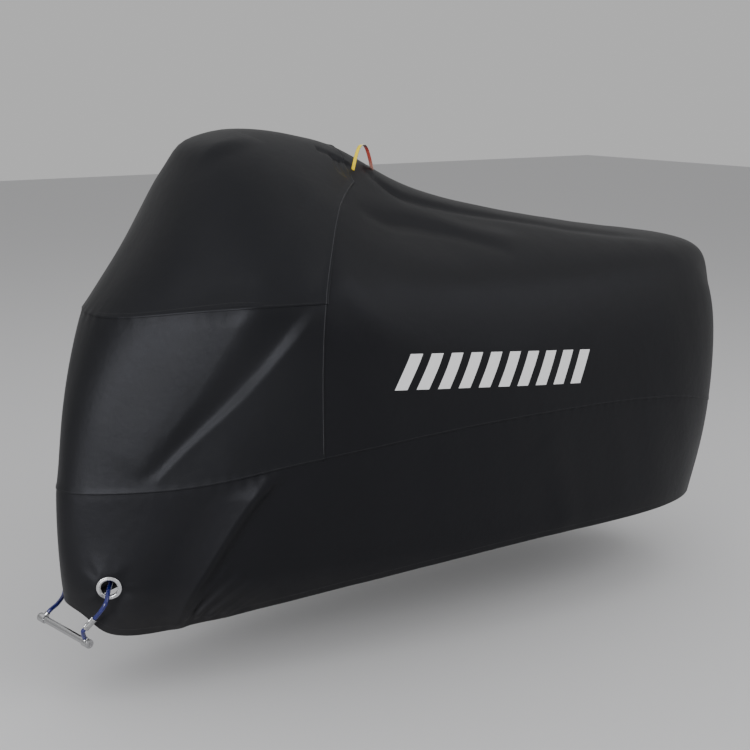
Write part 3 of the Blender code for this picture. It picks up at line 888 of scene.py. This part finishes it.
def evenLine(line, step):
    length = lengthAlong(line)
    at = np.arange(0.0, length[-1], step)
    return np.stack([np.interp(at, length, line[:, k]) for k in range(3)], axis=1)


def seamPlace(points, line):  # distance to a seam, and the length along it of the nearest place
    line = evenLine(line, seams["sample"])
    tree = KDTree(len(line))
    for index, spot in enumerate(line):
        tree.insert(spot, index)
    tree.balance()
    far, along = np.full(len(points), 1.0), np.zeros(len(points))
    low, high = line.min(axis=0) - seams["near"], line.max(axis=0) + seams["near"]
    for k in np.flatnonzero(((points > low) & (points < high)).all(axis=1)):
        _, index, distance = tree.find(points[k])
        far[k], along[k] = distance, index * seams["sample"]
    return far, along


def eyeletPuckers(points):  # small pleats that run out from each eyelet
    (first, opening), (last, closing) = eyelet["pleatStart"], eyelet["pleatEnd"]
    rise = np.zeros(len(points))
    for flip in bothSides.values():
        centre, facing = eyelet["at"] * flip, eyelet["facing"] * flip
        down = (Vector((0, 0, -1)) - facing * -facing.z).normalized()
        off = points - np.array(centre)
        low, wide = off @ np.array(down), off @ np.array(facing.cross(down))
        across, angle = np.hypot(low, wide), np.arctan2(wide, low)
        pleats = sum(share * np.cos(angle * count + start) for count, start, share in eyelet["pleats"])
        window = smooth((across - first) / opening) * (1 - smooth((across - last) / closing))
        rise += eyelet["pleat"] * pleats * window * (abs(off @ np.array(facing)) < eyelet["pleatDepth"])
    return rise


def shapeSkin(mesh):  # moves the skin to its folds, and tells how far each seam is
    points, normals = readPoints(mesh), readField(mesh.vertex_normals, "vector", 3)
    level, along = (readField(mesh.attributes[name].data, "value") for name in ("level", "along"))
    rise = foldRise(points, normals, level) + kinkRise(level, along) + drapeRise(points)
    lines = {"low": ringLine(shell["lowSeam"]), "upper": frontLine(shell["upperSeam"], shell["arch"]),
             "arch": hoopLine(shell["arch"], shell["lowSeam"])}
    distance = {}
    (waver, crowd), (calm, more, often) = seams["waver"], seams["calm"]
    for name, line in lines.items():
        far, run = seamPlace(points, line)
        wave = np.sin(run / seams["puckerWave"] * math.tau + waver * np.sin(run * crowd + len(name)))
        strength = calm + more * np.sin(run * often + 2 * len(name))
        rise += seams["pucker"] * wave * strength * (1 - smooth(far / seams["puckerReach"]))
        distance[name] = far
    points = flattened(points + normals * rise[:, None])
    points += normals * eyeletPuckers(points)[:, None]
    writePoints(mesh, points - np.array(originAt))
    return distance, normals, level, along


seamDistance, skinNormals, skinLevel, skinAlong = shapeSkin(skinMesh)
print("folds and puckers pressed in")


cloth = {
    "thread": 0.0006,  # distance between the weave's threads
    "weaveHeight": 0.00002,
    "crinkleHeight": 0.0007,
    "light": {"deep": (0.0035, 0.0036, 0.0042, 1), "pale": (0.0060, 0.0062, 0.0070, 1), "roughness": 0.40},
    "dark": {"deep": (0.0026, 0.0026, 0.0032, 1), "pale": (0.0046, 0.0046, 0.0054, 1), "roughness": 0.42},
    "gloss": 0.21, "sheen": (0.88, 0.90, 1.0, 1),
    "dustTone": (0.034, 0.032, 0.030, 1),
    "dustTop": -1.00, "dustGrowth": 4.0,  # dust gathers below this height
}

stripes = {  # reflective print on the near side of the body
    "start": (0.176, -0.566), "fall": -0.117, "height": 0.086,
    "pitch": 0.0610, "share": 0.58, "slant": 0.42, "count": 10,
    "tone": (0.80, 0.80, 0.81, 1), "roughness": 0.34, "thick": 0.00008,
}


def inside(value, low, high):
    return (value > low) * (value < high)


def printMask(look, x, y, z):  # slanted bars in a row
    run = x - stripes["start"][0]
    up = z - (run * stripes["fall"] + stripes["start"][1])
    across = (run - up * stripes["slant"]) / stripes["pitch"]
    bars = look.maths("FRACT", across) < stripes["share"]
    return bars * inside(across, 0.0, stripes["count"]) * inside(up, 0.0, stripes["height"]) * (y < 0.0)


def clothLook(name, shade, printed=False):
    look = Look(name, **{"Specular IOR Level": cloth["gloss"], "Specular Tint": cloth["sheen"]})
    u, v, _ = look.parts(look.node("UVMap", {"uv_map": "flat"}, {}))
    place = look.place()
    x, y, z = look.parts(place)
    turns = math.tau / cloth["thread"]
    weave = look.maths("SINE", u * turns) * look.maths("SINE", v * turns)
    crinkle = look.cloudy(place, 42.0, 4.0, 0.55)
    tone = look.cloudy(place, 6.0, 3.0, 0.6)
    colour = look.blend(tone, shade["deep"], shade["pale"])
    low = look.maths("MAXIMUM", (cloth["dustTop"] - z) * cloth["dustGrowth"], 0.0)
    colour = look.blend(low * look.cloudy(place, 25.0, 5.0, 0.7), colour, cloth["dustTone"])
    roughness = tone * 0.10 + shade["roughness"]
    height = weave * cloth["weaveHeight"] + crinkle * cloth["crinkleHeight"]
    if printed:
        mask = printMask(look, x, y, z)
        speckle = look.cloudy(place, 900.0, 2.0)
        colour = look.blend(mask * (speckle * 0.25 + 0.80), colour, stripes["tone"])
        roughness = roughness + mask * (stripes["roughness"] - shade["roughness"])
        height = height + mask * stripes["thick"]
    look.varying(Base_Color=colour, Roughness=roughness, Normal=look.bump(height, 1.0))
    return look.material


# Where a panel lies over its neighbour it stands proud along the seam. Where it lies under, it is
# tucked in and its edge runs on below the neighbour.
panels = {
    "skirtPanel": {"over": (), "under": ("low",), "node": "skirt_panel", "slot": "cloth_dark",
                   "flat": (0.345, 4.75), "area": 1.53, "hangsFrom": ("bodyPanel", "bandPanel"),
                   "sewn": ("hemStitches",)},
    "bandPanel": {"over": ("low", "arch"), "under": ("upper",), "node": "band_panel", "slot": "cloth_light",
                  "flat": (0.36, 1.50), "area": 0.48, "hangsFrom": ("hoodPanel",), "sewn": ()},
    "hoodPanel": {"over": ("upper", "arch"), "under": (), "node": "hood_panel", "slot": "cloth_light",
                  "flat": (0.72, 1.05), "area": 0.51, "hangsFrom": (), "welt": "arch",
                  "sewn": ("upperSeamStitches", "archStitches")},
    "bodyPanel": {"over": ("low",), "under": ("arch",), "node": "body_panel", "slot": "cloth_dark",
                  "flat": (1.75, 1.75), "area": 2.19, "hangsFrom": ("hoodPanel",),
                  "sewn": ("lowSeamStitches",)},
}

hem = {"turn": ((0.0007, 0.0008), (0.0007, 0.0020), (-0.0003, 0.0029), (-0.0160, 0.0029)),
       "stitchLevel": 0.0150}


def panelOf(level, along):
    front = along < shell["arch"]
    above = np.where(front, np.where(level < shell["upperSeam"], 1, 2), 3)
    return np.where(level < shell["lowSeam"], 0, above)


def markPanels(mesh):
    corners = readCorners(mesh).reshape(-1, 4)
    index = panelOf(skinLevel[corners].mean(axis=1), skinAlong[corners].mean(axis=1))
    mesh.polygons.foreach_set("material_index", index.astype(np.int32))


def outward(vert):  # away from the panel, at a vertex on its edge
    inner = [edge.other_vert(vert).co for edge in vert.link_edges if not edge.is_boundary]
    if not inner:
        inner = [edge.other_vert(vert).co for face in vert.link_faces for edge in face.edges
                 if vert in edge.verts]
    away = vert.co - sum(inner, Vector()) / len(inner)
    return (away - vert.normal * away.dot(vert.normal)).normalized()


def growEdge(panel, edges, moves):  # extrudes an edge in steps, each given outward and inwards
    starts = {vert: (vert.co.copy(), outward(vert), vert.normal.copy())
              for edge in edges for vert in edge.verts}
    for reach, depth in moves:
        grown = bmesh.ops.extrude_edge_only(panel, edges=edges)["geom"]
        fresh = [item for item in grown if isinstance(item, bmesh.types.BMVert)]
        edges = [item for item in grown if isinstance(item, bmesh.types.BMEdge)]
        following = {}
        for vert in fresh:
            others = (edge.other_vert(vert) for edge in vert.link_edges)
            following[vert] = starts[next(other for other in others if other in starts)]
            spot, away, normal = following[vert]
            vert.co = spot + away * reach - normal * depth
        starts = following


def openHole(panel, centre, facing):  # its edge is hidden between the eyelet's two flanges
    within = [face for face in panel.faces if (face.calc_center_median() - centre).length < eyelet["hole"]]
    bmesh.ops.delete(panel, geom=within, context="FACES")
    for vert in panel.verts:
        off = vert.co - centre
        if vert.is_boundary and off.length < eyelet["holeSearch"]:
            height = facing * off.dot(facing)
            vert.co = centre + height + (off - height).normalized() * eyelet["hole"]


def edgeAt(panel, key, value):
    layer = panel.verts.layers.float[key]
    return [edge for edge in panel.edges
            if edge.is_boundary and all(abs(vert[layer] - value) < seams["onEdge"] for vert in edge.verts)]


def cutPanel(index, spec):
    mesh = skinMesh.copy()
    lift = np.zeros(len(mesh.vertices))
    for side, height in (("over", seams["lip"]), ("under", -seams["tuck"])):
        for name in spec[side]:
            lift += height * (1 - smooth(seamDistance[name] / seams["blend"]))
    writePoints(mesh, readPoints(mesh) + skinNormals * lift[:, None])
    panel = bmesh.new()
    panel.from_mesh(mesh)
    bpy.data.meshes.remove(mesh)
    others = [face for face in panel.faces if face.material_index != index]
    bmesh.ops.delete(panel, geom=others, context="FACES")
    for face in panel.faces:
        face.material_index = 0
    panel.normal_update()
    edges = {"low": ("level", shell["lowSeam"]), "upper": ("level", shell["upperSeam"]),
             "arch": ("along", shell["arch"])}
    for name in spec["under"]:
        growEdge(panel, edgeAt(panel, *edges[name]), (seams["underlap"],))
    if "welt" in spec:
        growEdge(panel, edgeAt(panel, *edges[spec["welt"]]), seams["welt"])
    if index == 0:
        growEdge(panel, edgeAt(panel, "level", 0.0), hem["turn"])
        for flip in bothSides.values():
            openHole(panel, eyelet["at"] * flip - originAt, eyelet["facing"] * flip)
    return panel


def buildPanels():
    looks = {"cloth_light": clothLook("satin cloth, front", cloth["light"]),
             "cloth_dark": clothLook("satin cloth", cloth["dark"])}
    printed = clothLook("satin cloth, printed", cloth["dark"], True)
    markPanels(skinMesh)
    made = {}
    for index, (name, spec) in enumerate(panels.items()):
        look = printed if name == "bodyPanel" else looks[spec["slot"]]
        piece = shapeToObject(name, cutPanel(index, spec), look)
        thick = piece.modifiers.new("thickness", "SOLIDIFY")
        thick.thickness = shell["thickness"]
        thick.offset = -1
        made[name] = settle(piece, spec["slot"], spec["node"])
        print(f"{name} cut, {len(piece.data.polygons)} faces")
    return made


panelPieces = buildPanels()


stitching = {
    "pitch": 0.0048, "long": 0.0038, "wide": 0.0009, "high": 0.0007,
    "inset": 0.0045,  # from the seam, in levels or columns, which are about metres
    "archStart": 0.012,
    "probe": 0.030,
    "black": ((0.010, 0.010, 0.012, 1), (0.030, 0.030, 0.034, 1)),
    # the stitches are real, but this pale grey is a painted highlight: it makes the arch seam read as the light
    # line the seam catches
    "grey": ((0.060, 0.060, 0.068, 1), (0.140, 0.140, 0.155, 1)),
}


def outerTree():  # the faces of all panels before they get their thickness
    points, faces = [], []
    for piece in panelPieces.values():
        start = len(points)
        points += [vert.co.copy() for vert in piece.data.vertices]
        faces += [tuple(start + k for k in face.vertices) for face in piece.data.polygons]
    return BVHTree.FromPolygons(points, faces)


def threadLook(name, dark, pale):
    look = Look(name)
    place = look.place()
    strands = look.cloudy(place, 1400.0, 2.0)
    look.varying(Base_Color=look.blend(strands, dark, pale), Roughness=strands * 0.2 + 0.55,
                 Normal=look.bump(strands, 0.0001))
    return look.material


def sew(name, line, tree, look):
    shape = bmesh.new()
    size = Matrix.Diagonal((stitching["long"] / 2, stitching["wide"] / 2, stitching["high"] / 2, 1))
    spots = [Vector(spot) - originAt for spot in evenLine(line, stitching["pitch"])]
    for before, spot, after in zip(spots, spots[1:], spots[2:]):
        _, normal, _, _ = tree.find_nearest(spot)
        hit, normal, _, _ = tree.ray_cast(spot + normal * stitching["probe"], -normal)
        if hit is None or (hit - spot).length > stitching["probe"]:
            continue
        along = (after - before).normalized()
        beside = normal.cross(along).normalized()
        turn = Matrix((along, beside, along.cross(beside))).transposed().to_4x4()
        bmesh.ops.create_icosphere(shape, subdivisions=1, radius=1,
                                   matrix=Matrix.Translation(hit) @ turn @ size)
    return settle(shapeToObject(name, shape, look), "cloth_dark")


def sewSeams():
    tree, inset = outerTree(), stitching["inset"]
    black, grey = (threadLook(tone + " thread", *stitching[tone]) for tone in ("black", "grey"))
    rows = {
        "lowSeamStitches": (ringLine(shell["lowSeam"] + inset), black),
        "upperSeamStitches": (frontLine(shell["upperSeam"] + inset, shell["arch"] - inset), black),
        # the arch row gets the grey thread as a painted highlight along that seam
        "archStitches": (hoopLine(shell["arch"] - inset, shell["lowSeam"] + stitching["archStart"]), grey),
        "hemStitches": (ringLine(hem["stitchLevel"]), black),
    }
    return {name: sew(name, line, tree, look) for name, (line, look) in rows.items()}


stitches = sewSeams()
print("seams sewn")


tape = {
    "feet": (Vector((0.505, -0.118, 1.2185)), Vector((0.594, -0.064, 1.2105))),
    "rise": 0.060, "width": 0.0088, "thick": 0.0012, "power": 2.4, "pinch": 0.12,
    "lengthParts": 72, "widthParts": 6,
    "cup": 0.0006,  # the tape's middle stands this much out of its edges
    "sink": 0.0010,  # its ends go this far into the cloth
    # yellow and red are the tape's own colours; the pale stops at the crest are a painted highlight, and the
    # grey and dark red stops just past it painted shade
    "stops": ((0.0, (0.95, 0.68, 0.012, 1)), (1.0, (0.85, 0.50, 0.42, 1)), (0.36, (0.95, 0.74, 0.03, 1)),
              (0.44, (0.95, 0.90, 0.62, 1)), (0.53, (0.88, 0.86, 0.82, 1)), (0.58, (0.28, 0.25, 0.27, 1)),
              (0.66, (0.34, 0.16, 0.17, 1)), (0.74, (0.74, 0.09, 0.07, 1)), (0.90, (0.78, 0.14, 0.11, 1))),
    "rib": 0.0009, "length": 0.155,
    "probe": 0.05,  # the cloth under each end is looked for from this high
}


def tapeLook():  # yellow leg, a pale crest that is a painted highlight, then grey and dark red painted shade, and a red leg
    look = Look("striped tape", **{"Specular IOR Level": 0.3})
    run, across, _ = look.parts(look.node("UVMap", {"uv_map": "flat"}, {}))
    place = look.place()
    waver = look.cloudy(place, 260.0) * 0.02 - 0.01
    # lays the tape's colours along its length, with the painted crest highlight and the painted shade past it
    colour = look.node("ValToRGB", {"stops": tape["stops"]}, {"Fac": run + waver})
    ribs = look.maths("SINE", run * (math.tau * tape["length"] / tape["rib"]))
    edges = look.maths("ABSOLUTE", across - 0.5) > 0.42
    fuzz = look.cloudy(place, 1500.0, 3.0)
    look.varying(Base_Color=look.blend(edges * 0.35 + fuzz * 0.2, colour, (0.10, 0.08, 0.06, 1)),
                 Roughness=fuzz * 0.2 + 0.62, Normal=look.bump(ribs * 0.5 + fuzz, 0.00015))
    return look.material


def buildLoop():
    shape = bmesh.new()
    layer = shape.loops.layers.uv.new("flat")
    grid = bmesh.ops.create_grid(shape, x_segments=tape["lengthParts"], y_segments=tape["widthParts"],
                                 size=1)
    for face in shape.faces:
        for corner in face.loops:
            corner[layer].uv = ((corner.vert.co.x + 1) / 2, (corner.vert.co.y + 1) / 2)
    start, end = (foot - originAt for foot in tape["feet"])
    middle, reach = (start + end) / 2, (end - start) / 2
    across = reach.cross(Vector((0, 0, 1))).normalized() * tape["width"] / 2
    tree = outerTree()
    above, down = Vector((0, 0, tape["probe"])), Vector((0, 0, -1))
    drops = [(tree.ray_cast(foot + above, down)[0] - foot).z - tape["sink"] for foot in (start, end)]
    for vert in grid["verts"]:
        t, w = vert.co.xy
        share = (t + 1) / 2
        along = t * (1 - tape["pinch"] * (1 - t * t))
        up = tape["rise"] * (1 - abs(t) ** tape["power"]) + drops[0] * (1 - share) + drops[1] * share
        up += tape["cup"] * (1 - w * w) * (1 - t * t)
        vert.co = middle + reach * along + across * w + Vector((0, 0, up))
    loop = shapeToObject("pullLoop", shape, tapeLook())
    thick = loop.modifiers.new("thickness", "SOLIDIFY")
    thick.thickness = tape["thick"]
    thick.offset = 0
    return settle(loop, "loop_tape", "pull_loop")


loop = buildLoop()
print("pull loop sewn on")
